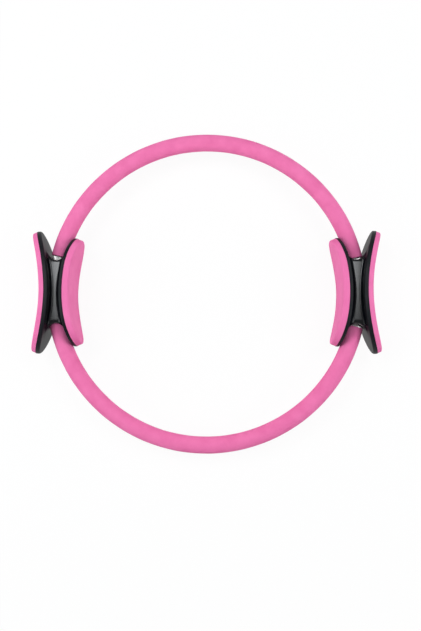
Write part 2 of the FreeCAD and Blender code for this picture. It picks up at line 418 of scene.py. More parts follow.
def finished(obj):
    """Outward normals, smooth faces and sharp corners."""
    shape = bmesh.new()
    shape.from_mesh(obj.data)
    bmesh.ops.remove_doubles(shape, verts=shape.verts, dist=1e-6)
    bmesh.ops.recalc_face_normals(shape, faces=shape.faces)
    open_edges = sum(len(edge.link_faces) != 2 for edge in shape.edges)
    shape.to_mesh(obj.data)
    shape.free()
    obj.data.shade_smooth()
    obj.data.set_sharp_from_angle(angle=sharp_corner)
    print(obj.name, len(obj.data.polygons), "faces,", open_edges, "open edges")
    return obj


def grown(name, tree, values, obj=None):
    """Object whose mesh a tree makes from these values, and from the mesh that the object has."""
    if obj is None:
        obj = placed(name, bpy.data.meshes.new(name))
    modifier = obj.modifiers.new("grow", "NODES")
    modifier.node_group = tree
    for socket in tree.interface.items_tree:
        if socket.in_out == "INPUT" and socket.name in values:
            modifier[socket.identifier] = values[socket.name]
    depsgraph = bpy.context.evaluated_depsgraph_get()
    mesh = bpy.data.meshes.new_from_object(obj.evaluated_get(depsgraph))
    obj.modifiers.remove(modifier)
    obj.data = mesh
    return finished(obj)


def new_shape_tree(name, sizes):
    return new_tree("GeometryNodeTree", name, sizes, {"Geometry": ("Geometry",)})


def put_out(tree, result, shape, material):
    """End of a tree: real geometry, all of one material."""
    real = made(tree, "GeometryNodeRealizeInstances", (shape,))
    feed(tree, result, (made(tree, "GeometryNodeSetMaterial", {"Geometry": real, "Material": material}),))


print("corners over", round(math.degrees(sharp_corner)), "degrees stay sharp")

# %% [markdown]
# ## Foam sleeve
# The sleeve is an extruded tube, cut to length, whose cut ends have a soft rim. It could be a circle
# swept along an arc, but that leaves no bore and no rim. So the tree draws the section of the tube's wall
# as a long rectangle with its mouth corners rounded, spins it into a straight tube, and then bends that
# round the hoop. A slow noise makes the foam a little uneven, as it is where it was pushed over the
# strips.

# %% Foam tube tree
full_swing = 4  # noise strays about a quarter from its middle


def foam_tube():
    sizes = {
        "Float": (
            "Hoop Radius", "Tube Diameter", "Bore Diameter", "Seam Angle", "Mouth Angle", "Rim Radius",
            "Step", "Unevenness", "Wave", "Lift",
        ),
        "Int": ("Sides",),
        "Material": ("Material",),
    }
    tree, given, result = new_shape_tree("foam_tube", sizes)
    sweep = calc(tree, "SUBTRACT", given["Mouth Angle"], given["Seam Angle"])
    length = calc(tree, "MULTIPLY", calc(tree, "ABSOLUTE", sweep), given["Hoop Radius"])
    wall = calc(tree, "DIVIDE", calc(tree, "SUBTRACT", given["Tube Diameter"], given["Bore Diameter"]), 2)
    middle = calc(tree, "DIVIDE", calc(tree, "ADD", given["Tube Diameter"], given["Bore Diameter"]), 4)
    place = made(tree, "GeometryNodeInputPosition")

    # Section of the wall, its two corners at the mouth rounded
    section = made(tree, "GeometryNodeCurvePrimitiveQuadrilateral", {"Width": wall, "Height": length})
    at_mouth = calc(tree, "LESS_THAN", axes_of(tree, place)["Y"], 0)
    feeds = {"Curve": section, "Count": 4, "Radius": calc(tree, "MULTIPLY", at_mouth, given["Rim Radius"])}
    fillet = made(tree, "GeometryNodeFilletCurve", feeds, mode="POLY")

    # Points along the section, at most a step apart
    index = made(tree, "GeometryNodeInputIndex")
    size = add(tree, "GeometryNodeAttributeDomainSize", (fillet,), component="CURVE").outputs["Point Count"]
    feeds = {"Index": calc(tree, "MODULO", calc(tree, "ADD", index, 1), size), "Value": place}
    ahead = made(tree, "GeometryNodeFieldAtIndex", feeds, data_type="FLOAT_VECTOR")
    run = add(tree, "ShaderNodeVectorMath", (place, ahead), operation="DISTANCE").outputs["Value"]
    cuts = calc(tree, "FLOOR", calc(tree, "DIVIDE", run, given["Step"]))
    section = made(tree, "GeometryNodeSubdivideCurve", {"Curve": fillet, "Cuts": cuts})

    # Straight tube along Z, with a mark where the foam was cut
    feeds = {"Resolution": given["Sides"], "Radius": middle}
    circle = made(tree, "GeometryNodeCurvePrimitiveCircle", feeds)
    circle = made(tree, "GeometryNodeSetCurveNormal", {"Curve": circle}, mode="Z_UP")
    tube = made(tree, "GeometryNodeCurveToMesh", {"Curve": circle, "Profile Curve": section})
    axes = axes_of(tree, place)
    along = calc(tree, "MULTIPLY_ADD", length, 0.5, axes["Z"])
    near_mouth = calc(tree, "GREATER_THAN", along, calc(tree, "SUBTRACT", length, given["Rim Radius"]))
    feeds = {"Geometry": tube, "Name": "cut_foam", "Value": near_mouth}
    tube = made(tree, "GeometryNodeStoreNamedAttribute", feeds, data_type="FLOAT", domain="POINT")

    # Bent round the hoop, swelling and shrinking a little on the way
    signed = calc(tree, "MULTIPLY", along, calc(tree, "SIGN", sweep))
    angle = calc(tree, "ADD", given["Seam Angle"], calc(tree, "DIVIDE", signed, given["Hoop Radius"]))
    round_hoop = calc(tree, "MULTIPLY", angle, given["Hoop Radius"])
    feeds = {
        "Vector": vector(tree, round_hoop, axes["X"], axes["Y"]),
        "Scale": calc(tree, "DIVIDE", 1, given["Wave"]),
    }
    wave = calc(tree, "SUBTRACT", made(tree, "ShaderNodeTexNoise", feeds), 0.5)
    swell = calc(tree, "DIVIDE", calc(tree, "MULTIPLY", wave, given["Unevenness"]), given["Tube Diameter"])
    swell = calc(tree, "MULTIPLY_ADD", swell, full_swing, 1)
    radius = calc(tree, "MULTIPLY_ADD", axes["X"], swell, given["Hoop Radius"])
    bent = vector(
        tree,
        calc(tree, "MULTIPLY", radius, calc(tree, "COSINE", angle)),
        calc(tree, "MULTIPLY", radius, calc(tree, "SINE", angle)),
        calc(tree, "MULTIPLY_ADD", axes["Y"], swell, given["Lift"]),
    )
    tube = made(tree, "GeometryNodeSetPosition", {"Geometry": tube, "Position": bent})
    put_out(tree, result, tube, given["Material"])
    return tree


foam_tube_tree = foam_tube()
print("foam tube tree:", len(foam_tube_tree.nodes), "nodes")

# %% [markdown]
# When the grips are squeezed, the hoop bends between its still middle and each moving grip. So each
# sleeve is grown in two halves that meet at the ring's top or bottom, where nothing moves. The sleeves end
# at slightly different distances from the grips, as a hand-fitted sleeve does: at the upper left most, so
# the white strips show there, and at the lower left the foam is tucked into the mouth.

# %% Foam sleeves
sleeve_low, sleeve_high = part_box("upper_sleeve")
tube_diameter = sleeve_high.z - sleeve_low.z
hoop_radius = sleeve_high.y - tube_diameter / 2
bore_diameter = 0.0124
mouth_y = 0.034
gaps = {
    ("upper", "left"): 0.0055,
    ("upper", "right"): 0.0030,
    ("lower", "left"): -0.0026,
    ("lower", "right"): 0.0040,
}
signs = {"left": -1, "right": 1, "lower": -1, "upper": 1}
full_turn = 2 * math.pi


def round_from(half, side, y):
    """Angle round the hoop of the place that lies y away from the grip's middle, towards this half."""
    return math.atan2(signs[half] * y, signs[side] * math.sqrt(hoop_radius ** 2 - y ** 2)) % full_turn


def seam_of(half):
    """Angle round the hoop of the top or bottom, where the two sides of this half meet."""
    return signs[half] * math.pi / 2 % full_turn


def bends_to(piece, side):
    """Bakes the piece's place into its mesh. The side is not used."""
    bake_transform(piece)


for (half, side), gap in gaps.items():
    sleeve = grown(f"{half}_sleeve_{side}", foam_tube_tree, {
        "Hoop Radius": hoop_radius,
        "Tube Diameter": tube_diameter,
        "Bore Diameter": bore_diameter,
        "Seam Angle": seam_of(half),
        "Mouth Angle": round_from(half, side, mouth_y + gap),
        "Rim Radius": 0.0009,
        "Step": 0.002,
        "Sides": 48,
        "Unevenness": 0.00025,
        "Wave": 0.025,
        "Lift": ring_height,
        "Material": sleeve_foam,
    })
    bends_to(sleeve, side)
    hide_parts(half + "_sleeve")

# %% [markdown]
# ## Fibreglass strips
# Two flat strips lie one behind the other in each half of the hoop. They are pulled through a die, so one
# section follows the arc all the way: a rounded rectangle swept along an arc is just what Curve to Mesh
# does. The hole for the pin is then cut near the end. Each strip too comes in two halves, for the same
# reason as the sleeve.

# %% Bars, rods and cuts
along_x = (0, math.pi / 2, 0)


def swept_bar(tree, section, points, radius, start, end):
    """A section swept along an arc about the ring's axis, with both ends closed."""
    sweep = calc(tree, "SUBTRACT", end, start)
    feeds = {"Resolution": points, "Radius": radius, "Start Angle": start, "Sweep Angle": sweep}
    arc = made(tree, "GeometryNodeCurveArc", feeds)
    arc = made(tree, "GeometryNodeSetCurveNormal", {"Curve": arc}, mode="Z_UP")
    feeds = {"Curve": arc, "Profile Curve": section, "Fill Caps": True}
    return made(tree, "GeometryNodeCurveToMesh", feeds)


def moved(tree, shape, place, turn=(0, 0, 0)):
    return made(tree, "GeometryNodeTransform", {"Geometry": shape, "Translation": place, "Rotation": turn})


def rod(tree, sides, radius, depth, middle):
    """Round rod along X, this long about its middle."""
    shape = made(tree, "GeometryNodeMeshCylinder", {"Vertices": sides, "Radius": radius, "Depth": depth})
    return moved(tree, shape, middle, along_x)


def cut_out_of(tree, shape):
    """Boolean node that takes what is linked to its second input out of a shape."""
    return add(tree, "GeometryNodeMeshBoolean", {0: shape}, operation="DIFFERENCE", solver="EXACT")


print("helpers for bars, rods and cuts ready")


# %% Fibreglass strip tree
def strip_tree():
    sizes = {
        "Float": (
            "Radius", "Thickness", "Width", "Edge Radius", "Seam Angle", "End Angle", "Hole Diameter",
            "Lift",
        ),
        "Int": ("Points",),
        "Vector": ("Hole Place",),
        "Material": ("Material",),
    }
    tree, given, result = new_shape_tree("strip", sizes)
    feeds = {"Width": given["Thickness"], "Height": given["Width"]}
    section = made(tree, "GeometryNodeCurvePrimitiveQuadrilateral", feeds)
    feeds = {"Curve": section, "Count": 3, "Radius": given["Edge Radius"]}
    section = made(tree, "GeometryNodeFilletCurve", feeds, mode="POLY")
    strip = swept_bar(
        tree, section, given["Points"], given["Radius"], given["Seam Angle"], given["End Angle"],
    )
    hole_radius = calc(tree, "DIVIDE", given["Hole Diameter"], 2)
    drill = rod(tree, 32, hole_radius, calc(tree, "MULTIPLY", given["Thickness"], 6), given["Hole Place"])
    cut = cut_out_of(tree, strip)
    feed(tree, cut, {1: drill})
    strip = moved(tree, cut.outputs[0], vector(tree, 0, 0, given["Lift"]))
    put_out(tree, result, strip, given["Material"])
    return tree


fibreglass_strip_tree = strip_tree()
print("strip tree:", len(fibreglass_strip_tree.nodes), "nodes")

# %% Fibreglass strips
strip_thickness = 0.0029
strip_width = 0.0100
strip_gap = 0.0001
strip_end_y = 0.0018
pin_y = 0.0140
pin_hole = 0.0036
strip_radii = {
    "outer": hoop_radius + (strip_gap + strip_thickness) / 2,
    "inner": hoop_radius - (strip_gap + strip_thickness) / 2,
}

for half, side in gaps:
    for layer, radius in strip_radii.items():
        pin_x = signs[side] * math.sqrt(radius ** 2 - pin_y ** 2)
        strip = grown(f"{half}_{layer}_strip_{side}", fibreglass_strip_tree, {
            "Radius": radius,
            "Thickness": strip_thickness,
            "Width": strip_width,
            "Edge Radius": 0.0004,
            "Seam Angle": seam_of(half),
            "End Angle": round_from(half, side, strip_end_y),
            "Points": 90,
            "Hole Diameter": pin_hole,
            "Hole Place": (pin_x, signs[half] * pin_y, 0),
            "Lift": ring_height,
            "Material": fibreglass,
        })
        bends_to(strip, side)
        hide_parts(f"{half}_{layer}_strip")

# %% [markdown]
# ## Grip shells
# A grip is two mouldings screwed together: a cover with the outer flange and a body with the waist and
# the inner flange. Plates and a block joined by a Boolean would have hard corners, but these flow into
# each other, with a wide flare at the mouths and a tight one along the waist. So the skin is a loft. Its
# rings start at the middle of a flange's seat, go over the rim, along the ring side, down the flare and
# along the waist to the parting groove.

# %% Outlines of waist and flanges
mouth_setback = 0.0008
waist_half_length = mouth_y - mouth_setback
waist_half_depth = 0.014
waist_corner = 0.002
grip_width = cad_high.z - cad_low.z


def waist_outline(long_points, short_points, corner_points):
    """Points round the waist's section, as (y, z) about its middle, and the outward direction at each."""
    points, outward = [], []
    corners = [(1, 1), (-1, 1), (-1, -1), (1, -1)]
    straight = (waist_half_length - waist_corner, waist_half_depth - waist_corner)
    for number, corner in enumerate(corners):
        middle = np.array(corner) * straight
        for turn in np.linspace(0, math.pi / 2, corner_points) + number * math.pi / 2:
            outward.append(np.array((math.cos(turn), math.sin(turn))))
            points.append(middle + waist_corner * outward[-1])
        run = (np.array(corners[(number + 1) % 4]) - corner) * straight
        last, away = points[-1], outward[-1]
        for share in np.linspace(0, 1, (short_points if number % 2 else long_points) + 2)[1:-1]:
            points.append(last + run * share)
            outward.append(away)
    return np.array(points), np.array(outward)


def oval_beyond(points, length, flat, width):
    """Where rays through these points meet an oval with straight sides, and the outward directions."""
    half = np.array(((length - flat) / 2, width / 2))
    rays = points / np.linalg.norm(points, axis=1)[:, None]
    end_middle = np.sign(rays) * (flat / 2, 0)
    square = ((rays / half) ** 2).sum(1)
    cross = (rays * end_middle / half ** 2).sum(1)
    rest = ((end_middle / half) ** 2).sum(1) - 1
    reach = (cross + np.sqrt(cross ** 2 - square * rest)) / square
    to_side = half[1] / np.maximum(np.abs(rays[:, 1]), 1e-9)
    on_side = np.abs(to_side * rays[:, 0]) <= flat / 2
    outline = rays * np.where(on_side, to_side, reach)[:, None]
    outward = np.where(on_side[:, None], np.sign(rays) * (0, 1), (outline - end_middle) / half ** 2)
    return outline, outward / np.linalg.norm(outward, axis=1)[:, None]


waist, waist_outward = waist_outline(long_points=56, short_points=30, corner_points=9)
print("waist outline:", len(waist), "points")

# %% [markdown]
# Both flanges are curved about upright axes, the inner one about the ring's own axis and the outer one
# about an axis beyond the grip, so a place on either follows from a radius and y. A flare is a quarter
# circle between flange and waist. Its radius is small on the long sides and large at the mouths, where
# the moulding sweeps out into the flange. Between the flares the long sides of the waist are a little
# hollow.

# %% Waist of a grip
outer_axis_x = 0.3442
outer_ring_side_radius = 0.1754
inner_ring_side_radius = 0.15735
waist_hollow = 0.0005
hollow_middle_x = 0.1629
hollow_reach = 0.0102
outer_flare = np.array((0.0130, 0.0022))
inner_flare = np.array((0.0140, 0.0065))
flare_rounds = 8


def outer_x(radius, y):
    return outer_axis_x - np.sqrt(radius ** 2 - y ** 2)


def inner_x(radius, y):
    return np.sqrt(radius ** 2 - y ** 2)


def flare(radii, height):
    """How far quarter circles of these radii, along y and z, stand out this high above their foot."""
    left = np.clip(radii - height[:, None], 0, radii)
    return radii - np.sqrt(radii ** 2 - left ** 2)


def waist_ring(place, sunk=0.0):
    """Ring round the waist at the x that place gives for each y, sunk this deep below the skin."""
    y = waist[:, 0]
    # The flare shifts y, and x and the flare follow from y, so a few rounds settle them.
    for _ in range(flare_rounds):
        x = place(y)
        stands_out = flare(outer_flare, outer_x(outer_ring_side_radius, y) - x)
        stands_out = stands_out + flare(inner_flare, x - inner_x(inner_ring_side_radius, y)) - sunk
        hollow = waist_hollow * np.clip(1 - ((x - hollow_middle_x) / hollow_reach) ** 2, 0, 1)
        ring = waist * np.stack((np.ones_like(hollow), 1 - hollow / waist_half_depth), 1)
        ring = ring + waist_outward * stands_out
        y = ring[:, 0]
    return ring, place(y)


outer_foot = waist_ring(lambda y: outer_x(outer_ring_side_radius, y))
inner_foot = waist_ring(lambda y: inner_x(inner_ring_side_radius, y))
for flange, foot in (("outer", outer_foot), ("inner", inner_foot)):
    print(flange, "flare spreads over", [round(side, 4) for side in np.ptp(foot[0], axis=0)], "m")

# %% Flanges of a grip
outer_seat_radius = 0.171
inner_seat_radius = 0.15375
flange_sizes = {"outer": (0.1355, 0.020), "inner": (0.1196, 0.052)}
rim = 0.0013
seat_rim = 0.0005
rim_draft = 0.00016


def flange_rings(flange, root, seat_radius, ring_side_radius, place):
    """Rings from the middle of a flange's seat, over the rim and along the ring side to the root."""
    outline, outward = oval_beyond(waist, *flange_sizes[flange], grip_width)
    seat_edge = outline - outward * (rim_draft + seat_rim)
    rings = [(seat_edge * share, seat_radius) for share in np.linspace(0, 1, 14)]
    for turn in np.linspace(0, math.pi / 2, 5)[1:]:
        inset = rim_draft + seat_rim * (1 - math.sin(turn))
        rings.append((outline - outward * inset, seat_radius + seat_rim * (1 - math.cos(turn))))
    for turn in np.linspace(math.pi / 2, 0, 7):
        inset = rim * (1 - math.sin(turn))
        rings.append((outline - outward * inset, ring_side_radius - rim * (1 - math.cos(turn))))
    edge = outline - outward * rim
    for share in np.linspace(0, 1, 14)[1:-1]:
        rings.append((edge + (root - edge) * share, ring_side_radius))
    return [(ring, place(radius, ring[:, 0])) for ring, radius in rings]


print("flanges:", {flange: length for flange, (length, flat) in flange_sizes.items()}, "m long")

# %% [markdown]
# A shell is closed by its parting face, which lies under the groove. The rings of points are joined by
# squares, and the rings that shrink to a point at both ends merge there.

# %% Lofted shells
parting_radius = 0.1780
groove_depth = 0.0007
half_groove = 0.0004


def meshed(name, places, count, material):
    """Object from rings of this many points: squares join each ring to the next one."""
    first = np.arange(len(places) - count).reshape(-1, count)
    after = np.roll(first, -1, axis=1)
    faces = np.stack((first, after, after + count, first + count), -1).reshape(-1, 4)
    mesh = bpy.data.meshes.new(name)
    mesh.from_pydata([tuple(place) for place in places], [], faces.tolist())
    mesh.materials.append(material)
    return placed(name, mesh)


def outer_shell_rings():
    groove_radius = parting_radius - half_groove
    rings = flange_rings("outer", outer_foot[0], outer_seat_radius, outer_ring_side_radius, outer_x)
    rings.append(outer_foot)
    for share in np.linspace(0, 1, 10)[1:]:
        radius = outer_ring_side_radius + (groove_radius - outer_ring_side_radius) * share ** 2
        rings.append(waist_ring(lambda y: outer_x(radius, y)))
    rings.append(waist_ring(lambda y: outer_x(groove_radius, y), groove_depth))
    return rings


def inner_shell_rings():
    groove_radius = parting_radius + half_groove
    rings = flange_rings("inner", inner_foot[0], inner_seat_radius, inner_ring_side_radius, inner_x)
    rings.append(inner_foot)
    for share in np.linspace(0, 1, 19)[1:]:
        def place(y):
            foot_x = inner_x(inner_ring_side_radius, y)
            return foot_x + (outer_x(groove_radius, y) - foot_x) * share ** 2
        rings.append(waist_ring(place))
    rings.append(waist_ring(lambda y: outer_x(groove_radius, y), groove_depth))
    return rings


def lofted_shell(name, rings):
    """Shell of the right grip, closed by its parting face."""
    lip = waist_ring(lambda y: outer_x(parting_radius, y), groove_depth)[0]
    face = [lip * share for share in np.linspace(1, 0, 10)]
    rings = rings + [(ring, outer_x(parting_radius, ring[:, 0])) for ring in face]
    places = np.array([(x, y, z) for ring, xs in rings for (y, z), x in zip(ring, xs)])
    return finished(meshed(name, places + (0, 0, ring_height), len(waist), black_plastic))


skins = {"outer_shell": outer_shell_rings(), "inner_shell": inner_shell_rings()}
print("rings of the skins:", {shell_name: len(rings) for shell_name, rings in skins.items()})

# %% [markdown]
# The strips and the foam enter a shell through a curved channel with a round mouth, and screws and pins
# through straight holes. All of them follow a path or repeat, so one tree makes the cutters: arcs with a
# section swept along them, turned over for the lower half, and rods on a grid. A Boolean takes them out
# of the loft.

# %% Room for strips, screws and pins
turned_over = (math.pi, 0, 0)
past_the_flange = 0.2


def copies_across(tree, piece, places, rows):
    """Copies of a piece that lies along X, two along Y and this many along Z, as far apart as given."""
    axes = axes_of(tree, places)
    feeds = {"Size X": axes["Y"], "Size Y": axes["Z"], "Vertices X": 2, "Vertices Y": rows}
    grid = made(tree, "GeometryNodeMeshGrid", feeds)
    grid = moved(tree, grid, (0, 0, 0), (math.pi / 2, 0, math.pi / 2))
    copies = made(tree, "GeometryNodeInstanceOnPoints", {"Points": grid, "Instance": piece})
    return made(tree, "GeometryNodeRealizeInstances", (copies,))


def room_tree():
    sizes = {
        "Geometry": ("Geometry",),
        "Float": (
            "Hoop Radius", "Mouth Radius", "Mouth Start", "Channel Thickness", "Channel Width",
            "Channel Start", "End", "Screw Radius", "Screw Tip", "Head Radius", "Head Seat",
            "Pin Radius", "Pin Foot", "Pin Top",
        ),
        "Vector": ("Screw Places", "Pin Places", "Lift"),
        "Material": ("Material",),
    }
    tree, given, result = new_shape_tree("grip_room", sizes)
    cut = cut_out_of(tree, given["Geometry"])

    def take_out(cutter, turn=(0, 0, 0)):
        feed(tree, cut, {1: moved(tree, cutter, given["Lift"], turn)})

    def take_out_bar(section, start):
        bar = swept_bar(tree, section, 40, given["Hoop Radius"], start, given["End"])
        take_out(bar)
        take_out(bar, turned_over)

    def take_out_rods(places, rows, radius, low, high):
        depth = calc(tree, "SUBTRACT", high, low)
        middle = vector(tree, calc(tree, "MULTIPLY_ADD", depth, 0.5, low), 0, 0)
        take_out(copies_across(tree, rod(tree, 28, radius, depth, middle), places, rows))

    feeds = {"Resolution": 56, "Radius": given["Mouth Radius"]}
    take_out_bar(made(tree, "GeometryNodeCurvePrimitiveCircle", feeds), given["Mouth Start"])
    feeds = {"Width": given["Channel Thickness"], "Height": given["Channel Width"]}
    take_out_bar(made(tree, "GeometryNodeCurvePrimitiveQuadrilateral", feeds), given["Channel Start"])
    take_out_rods(given["Screw Places"], 2, given["Screw Radius"], given["Screw Tip"], past_the_flange)
    take_out_rods(given["Screw Places"], 2, given["Head Radius"], given["Head Seat"], past_the_flange)
    take_out_rods(given["Pin Places"], 1, given["Pin Radius"], given["Pin Foot"], given["Pin Top"])
    put_out(tree, result, cut.outputs[0], given["Material"])
    return tree


grip_room_tree = room_tree()
print("grip room tree:", len(grip_room_tree.nodes), "nodes")

# %% Grip shells in place
screw_places = (0, 0.0440, 0.0193)
head_seat_x = 0.17082
screw_length = 0.0140
room_below_tip = 0.0006
pilot_radius = 0.00155
mouth_clearance = 0.0003
channel_clearance = 0.0006
mouth_foot_y = 0.030
stop_half_thickness = 0.0015
room_end_y = 0.068
screw_and_head_radii = {"outer_shell": (0.0018, 0.0033), "inner_shell": (pilot_radius, pilot_radius)}


def on_both_grips(piece, left_name):
    """A piece of the right grip and its copy on the left one, half a turn about the ring's axis away."""
    mesh = piece.data.copy()
    mesh.transform(Matrix.Rotation(math.pi, 4, "Z"))
    return ("right", piece), ("left", placed(left_name, mesh))


for shell_name, (screw_radius, head_radius) in screw_and_head_radii.items():
    loft = lofted_shell(f"right_{shell_name}_skin", skins[shell_name])
    right_shell = grown(loft.name, grip_room_tree, {
        "Hoop Radius": hoop_radius,
        "Mouth Radius": tube_diameter / 2 + mouth_clearance,
        "Mouth Start": math.asin(mouth_foot_y / hoop_radius),
        "Channel Thickness": 2 * strip_thickness + strip_gap + channel_clearance,
        "Channel Width": strip_width + channel_clearance,
        "Channel Start": math.asin(stop_half_thickness / hoop_radius),
        "End": math.asin(room_end_y / hoop_radius),
        "Screw Places": screw_places,
        "Screw Radius": screw_radius,
        "Screw Tip": head_seat_x - screw_length - room_below_tip,
        "Head Radius": head_radius,
        "Head Seat": head_seat_x,
        "Pin Places": (0, 2 * pin_y, 0),
        "Pin Radius": pilot_radius,
        "Pin Foot": 0.15965,
        "Pin Top": 0.17127,
        "Lift": ring_centre,
        "Material": black_plastic,
    }, loft)
    for side, shell in on_both_grips(right_shell, f"left_{shell_name}_skin"):
        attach(shell, side + "_grip")
        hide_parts(f"{side}_{shell_name}")

# %% [markdown]
# ## Shell screws
# Four screws hold the two shells of a grip together, with their heads under the outer pad. A screw is
# turned and rolled, so its shape is a rule for the radius at each height: a tip that tapers, a thread
# that climbs, a rounded head. The tree bends a plain cylinder to that rule, cuts the cross recess, and
# sets copies on a grid.

# %% Shell screw tree
tip_share = 0.2
rounded_share_of_head = 0.4
head_rounding = 0.22


def screw_tree():
    sizes = {
        "Float": (
            "Shank Diameter", "Length", "Head Diameter", "Head Height", "Thread Depth", "Pitch",
            "Head Seat",
        ),
        "Vector": ("Recess", "Places", "Lift"),
        "Material": ("Material",),
    }
    tree, given, result = new_shape_tree("shell_screws", sizes)
    total = calc(tree, "ADD", given["Length"], given["Head Height"])
    feeds = {"Vertices": 32, "Side Segments": 81, "Fill Segments": 2, "Radius": 1, "Depth": total}
    blank = made(tree, "GeometryNodeMeshCylinder", feeds)
    axes = axes_of(tree, made(tree, "GeometryNodeInputPosition"))
    height = calc(tree, "MULTIPLY_ADD", total, 0.5, axes["Z"])

    # Radius at each height and turn: thread, tip and head
    turns = calc(tree, "DIVIDE", calc(tree, "ARCTAN2", axes["Y"], axes["X"]), full_turn)
    climb = calc(tree, "SUBTRACT", calc(tree, "DIVIDE", height, given["Pitch"]), turns)
    flank = calc(tree, "SUBTRACT", calc(tree, "PINGPONG", climb, 0.5), 0.5)
    thread = calc(tree, "MULTIPLY", flank, calc(tree, "MULTIPLY", given["Thread Depth"], 2))
    shank = calc(tree, "MULTIPLY_ADD", given["Shank Diameter"], 0.5, thread)
    shank = calc(tree, "MULTIPLY", shank, between(tree, height, 0, given["Shank Diameter"], tip_share, 1))
    rounding_starts = calc(tree, "MULTIPLY_ADD", given["Head Height"], -rounded_share_of_head, total)
    head_top = between(tree, height, rounding_starts, total, 0, 1)
    head = calc(tree, "MULTIPLY_ADD", calc(tree, "POWER", head_top, 2), -head_rounding, 1)
    head = calc(tree, "MULTIPLY", calc(tree, "MULTIPLY", given["Head Diameter"], 0.5), head)
    in_head = calc(tree, "GREATER_THAN", height, given["Length"])
    radius = made(tree, "ShaderNodeMix", {"Factor": in_head, "A": shank, "B": head})
    shaped = vector(tree, *(calc(tree, "MULTIPLY", axes[axis], radius) for axis in "XY"), axes["Z"])
    screw = made(tree, "GeometryNodeSetPosition", {"Geometry": blank, "Position": shaped})

    # Cross recess: two slots sunk into the top of the head
    recess = axes_of(tree, given["Recess"])
    top = vector(tree, 0, 0, calc(tree, "DIVIDE", total, 2))
    cut = cut_out_of(tree, screw)
    for long_side, short_side in (("X", "Y"), ("Y", "X")):
        size = vector(tree, recess[long_side], recess[short_side], calc(tree, "MULTIPLY", recess["Z"], 2))
        feed(tree, cut, {1: moved(tree, made(tree, "GeometryNodeMeshCube", {"Size": size}), top)})

    # Laid along X with the head on its seat, and copied
    seat_above_middle = calc(tree, "MULTIPLY_ADD", total, -0.5, given["Length"])
    to_seat = vector(tree, calc(tree, "SUBTRACT", given["Head Seat"], seat_above_middle), 0, 0)
    screws = copies_across(tree, moved(tree, cut.outputs[0], to_seat, along_x), given["Places"], 2)
    put_out(tree, result, moved(tree, screws, given["Lift"]), given["Material"])
    return tree


shell_screw_tree = screw_tree()
print("shell screw tree:", len(shell_screw_tree.nodes), "nodes")

# %% Shell screws in place
right_screws = grown("right_screw_set", shell_screw_tree, {
    "Shank Diameter": 0.0030,
    "Length": screw_length,
    "Head Diameter": 0.0060,
    "Head Height": 0.0022,
    "Thread Depth": 0.0003,
    "Pitch": 0.0010,
    "Recess": (0.0032, 0.0008, 0.0011),
    "Places": screw_places,
    "Head Seat": head_seat_x,
    "Lift": ring_centre,
    "Material": steel,
})
for side, screws in on_both_grips(right_screws, "left_screw_set"):
    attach(screws, side + "_grip")
    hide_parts(side + "_shell_screws")

# %% [markdown]
# ## Foam pads
# Each flange carries a pad cut from foam sheet and glued on: an oval with two straight sides, crowned
# across its width, a little thinner towards its tips, with a pressed round edge and a side that draws in.
# Foam sheet is no stuffed cloth, so it is modelled straight: rings of points run from the glued face up
# the side, over the edge and across the crown, and each point is then laid on the flange's curve. The
# sheet is bent after it was cut, so its side stays square to the flange.

# %% Oval outline
def oval(length, flat, width, end_points, side_points):
    """Points round an oval with straight sides, as (y, z), and the outward direction at each."""
    end_y = (length - flat) / 2
    end_z = width / 2
    points, outward = [], []
    for end in (1, -1):
        for turn in np.linspace(-math.pi / 2, math.pi / 2, end_points):
            points.append((end * (flat / 2 + end_y * math.cos(turn)), end * end_z * math.sin(turn)))
            away = Vector((end * math.cos(turn) / end_y, end * math.sin(turn) / end_z)).normalized()
            outward.append(tuple(away))
        for share in np.linspace(0, 1, side_points + 2)[1:-1]:
            points.append((end * flat * (0.5 - share), end * end_z))
            outward.append((0, end))
    return np.array(points), np.array(outward)


pad_points = dict(end_points=49, side_points=15)
print("pad outline:", len(oval(*flange_sizes["outer"], grip_width, **pad_points)[0]), "points")

# %% Rings of a foam pad
pad_crown = 0.0010
pad_edge = 0.0020
pad_tip_thinner = 0.0008
pad_draw_in = 0.0001
side_starts = 0.05
glue_inset = 0.0003


def pad_rings(points, outward, thickness, length):
    """Rings from the glued face to the crown: (y, z), height above the seat, share of cut side."""
    half_width = grip_width / 2

    def face_height(ring):
        tip = np.abs(ring[:, 0]) / (length / 2)
        return thickness + pad_crown * (1 - (ring[:, 1] / half_width) ** 2) - pad_tip_thinner * tip ** 3

    rows = []
    for share in np.linspace(0, 1, 12):
        rows.append((points * share - outward * glue_inset * share, 0.0, 0.0))
    for share in np.linspace(side_starts, 1, 8):
        ring = points - outward * pad_draw_in * math.sin(math.pi * share)
        rows.append((ring, share * (face_height(ring) - pad_edge), 1.0))
    for turn in np.linspace(0, math.pi / 2, 9)[1:]:
        ring = points - outward * pad_edge * (1 - math.cos(turn))
        rows.append((ring, face_height(ring) - pad_edge * (1 - math.sin(turn)), 1 - math.sin(turn)))
    edge = points - outward * pad_edge
    for share in np.linspace(1, 0, 26)[1:]:
        rows.append((edge * share, face_height(edge * share), 0.0))
    return rows


print("pad: round edge", pad_edge, "and crown", pad_crown, "m")

# %% Foam pads in place
pad_inset = 0.0005
pad_ripple = 0.00015
ripple_size = 0.022
pads = {
    "outer": dict(axis_x=outer_axis_x, seat_radius=outer_seat_radius, thickness=0.0055),
    "inner": dict(axis_x=0.0, seat_radius=inner_seat_radius, thickness=0.0068),
}


